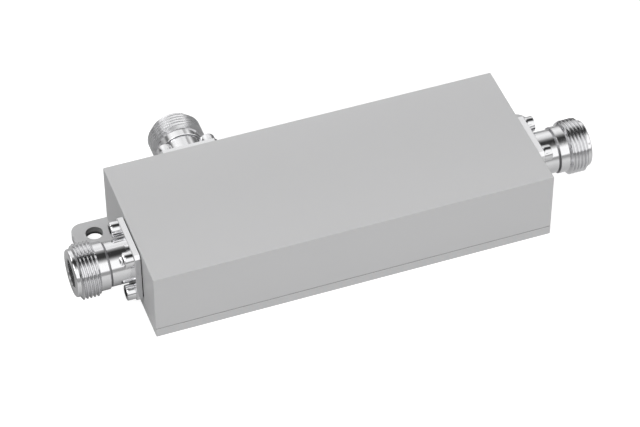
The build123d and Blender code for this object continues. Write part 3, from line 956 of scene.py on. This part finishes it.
# The camera sees the paper glow up to white. A lighter tone takes more light, and so it glows less
ray = tree.nodes.new("ShaderNodeLightPath")
seen = highest(tree, ray.outputs["Is Camera Ray"], ray.outputs["Is Transmission Ray"])
seen_glow = multiply(tree, seen, one_minus(tree, multiply(tree, tone, LIGHT_ON_PAPER)))
glow = add_math(tree, "ADD", seen_glow, multiply(tree, one_minus(tree, seen), mirrored_glow))
feed(tree, shader.inputs["Emission Strength"], glow)
floor.data.materials.append(paper)

bpy.ops.mesh.primitive_plane_add(size=1, location=CARD_PLACE)
card = bpy.context.object
card.name = "card"
card.scale = CARD_SIZE
bpy.ops.object.transform_apply(location=True, scale=True)
card.visible_camera = False
card_glow = bpy.data.materials.new("card_glow")
card_glow.use_nodes = True
shader = card_glow.node_tree.nodes["Principled BSDF"]
shader.inputs["Base Color"].default_value = (0, 0, 0, 1)
shader.inputs["Emission Color"].default_value = (1, 1, 1, 1)
shader.inputs["Emission Strength"].default_value = 1.0
card.data.materials.append(card_glow)

world = bpy.data.worlds.new("studio")
bpy.context.scene.world = world
world.use_nodes = True
tree = world.node_tree
tree.nodes.clear()
to_right, to_back, upward = split_axes(tree, tree.nodes.new("ShaderNodeTexCoord").outputs["Generated"])

# Arch of light over the part, by the angle from the front horizon: degrees and level, dark overhead
ARCH_STOPS = [
    (0, 0.38),
    (11, 0.38),
    (15, 1.24),
    (52, 1.22),
    (62, 0.60),
    (72, 0.14),
    (80, 0.04),
    (101, 0.04),
    (107, 0.16),
    (115, 0.40),
    (124, 0.80),
    (134, 0.96),
    (150, 1.08),
    (164, 0.95),
    (174, 0.72),
]
ARCH_TOP = 1.3
arch_angle = add_math(tree, "ARCTAN2", upward, multiply(tree, to_back, -1))
slant = add_range(tree, to_right, 0.1, 0.4, radians(-3), radians(4))
lean = make_patch(tree, (to_right, 0.335, 0.40, 0, radians(-28)), (upward, 0.3, 0.5, 0, 1))
arch_angle = add_math(tree, "ADD", add_math(tree, "ADD", arch_angle, slant), lean)
arch_stops = [(degrees / 180, level) for degrees, level in ARCH_STOPS]
arch = add_bands(tree, add_math(tree, "DIVIDE", arch_angle, pi), arch_stops, ARCH_TOP)

# Where the arch fades or brightens. Each edge is a part of the direction, from where to where, and two levels
left_fall = add_range(tree, to_right, -0.9, -0.3, 0.2, 1)
back_gain = make_patch(tree, (to_right, -0.1, 0.12, 0.2, 0), (to_back, 0.5, 0.65, 0, 1))
right_corner = make_patch(tree, (to_right, 0.58, 0.68, 0, 0.75), (to_back, 0.55, 0.65, 0, 1))
left_streak = make_patch(
    tree,
    (to_right, -0.56, -0.48, 0.8, 0),
    (to_right, -0.67, -0.62, 0, 1),
    (to_back, 0.6, 0.66, 0, 1),
)
arch = multiply(tree, arch, left_fall, add_math(tree, "ADD", back_gain, 1))
arch = multiply(tree, arch, one_minus(tree, right_corner), one_minus(tree, left_streak))

# Softbox over the left end, by the place from left to right, with a front part and a back part
LEFT_BOX_STOPS = [(0.05, 0.6), (0.2, 3.0), (0.3, 4.0), (0.44, 0.0)]
LEFT_BOX_TOP = 4.0
left_box = add_bands(tree, add_range(tree, to_right, -1, 1, 0, 1), LEFT_BOX_STOPS, LEFT_BOX_TOP)
front_part = add_range(tree, to_back, -0.2, 0.05, 1, 0)
back_part = make_patch(tree, (to_back, 0.24, 0.42, 0, 1.5), (to_back, 0.55, 0.68, 1, 0.1))
overhead = add_range(tree, upward, 0.45, 0.7, 0, 1)
left_box = multiply(tree, left_box, overhead, highest(tree, front_part, back_part))

# The smaller lights
right_box = make_patch(tree, (to_right, 0.8, 0.88, 0, 0.95), (to_back, 0.05, 0.2, 1, 0))
right_lamp = make_patch(
    tree,
    (to_right, 0.42, 0.6, 0, 1),
    (to_back, -0.4, 0.1, 1.2, 0),
    (upward, 0.45, 0.75, 0, 1),
)
rear_lamp = make_patch(
    tree,
    (to_right, 0.6, 0.68, 0, 1.2),
    (to_back, 0.24, 0.32, 1, 0),
    (to_back, 0.0, 0.12, 0.05, 1),
    (upward, 0.36, 0.44, 0, 1),
)
far_left = make_patch(
    tree,
    (to_right, -0.92, -0.76, 0.75, 0),
    (upward, 0.1, 0.25, 0, 1),
    (to_back, 0.2, 0.4, 1, 0),
)
light = highest(tree, arch, left_box, right_box, right_lamp, rear_lamp, far_left)

# The part is lit and mirrored by all of that, and the camera sees plain white behind it
studio = tree.nodes.new("ShaderNodeBackground")
studio.inputs["Color"].default_value = (1, 1, 1, 1)
feed(tree, studio.inputs["Strength"], light)
white = tree.nodes.new("ShaderNodeBackground")
white.inputs["Color"].default_value = (1, 1, 1, 1)
white.inputs["Strength"].default_value = 1
mix = tree.nodes.new("ShaderNodeMixShader")
feed(tree, mix.inputs["Fac"], tree.nodes.new("ShaderNodeLightPath").outputs["Is Camera Ray"])
feed(tree, mix.inputs[1], studio.outputs[0])
feed(tree, mix.inputs[2], white.outputs[0])
output = tree.nodes.new("ShaderNodeOutputWorld")
feed(tree, output.inputs["Surface"], mix.outputs[0])

# The photograph's viewpoint and lens, solved from the straight edges of the box
camera = bpy.data.objects.new("camera", bpy.data.cameras.new("camera"))
bpy.context.scene.collection.objects.link(camera)
bpy.context.scene.camera = camera
camera.location = (-0.18995, -0.52086, 0.55266)
camera.rotation_euler = (radians(45.411), radians(0.130), radians(-19.922))
camera.data.lens = 153.511
camera.data.sensor_width = 36
bpy.context.scene.view_settings.view_transform = "Standard"
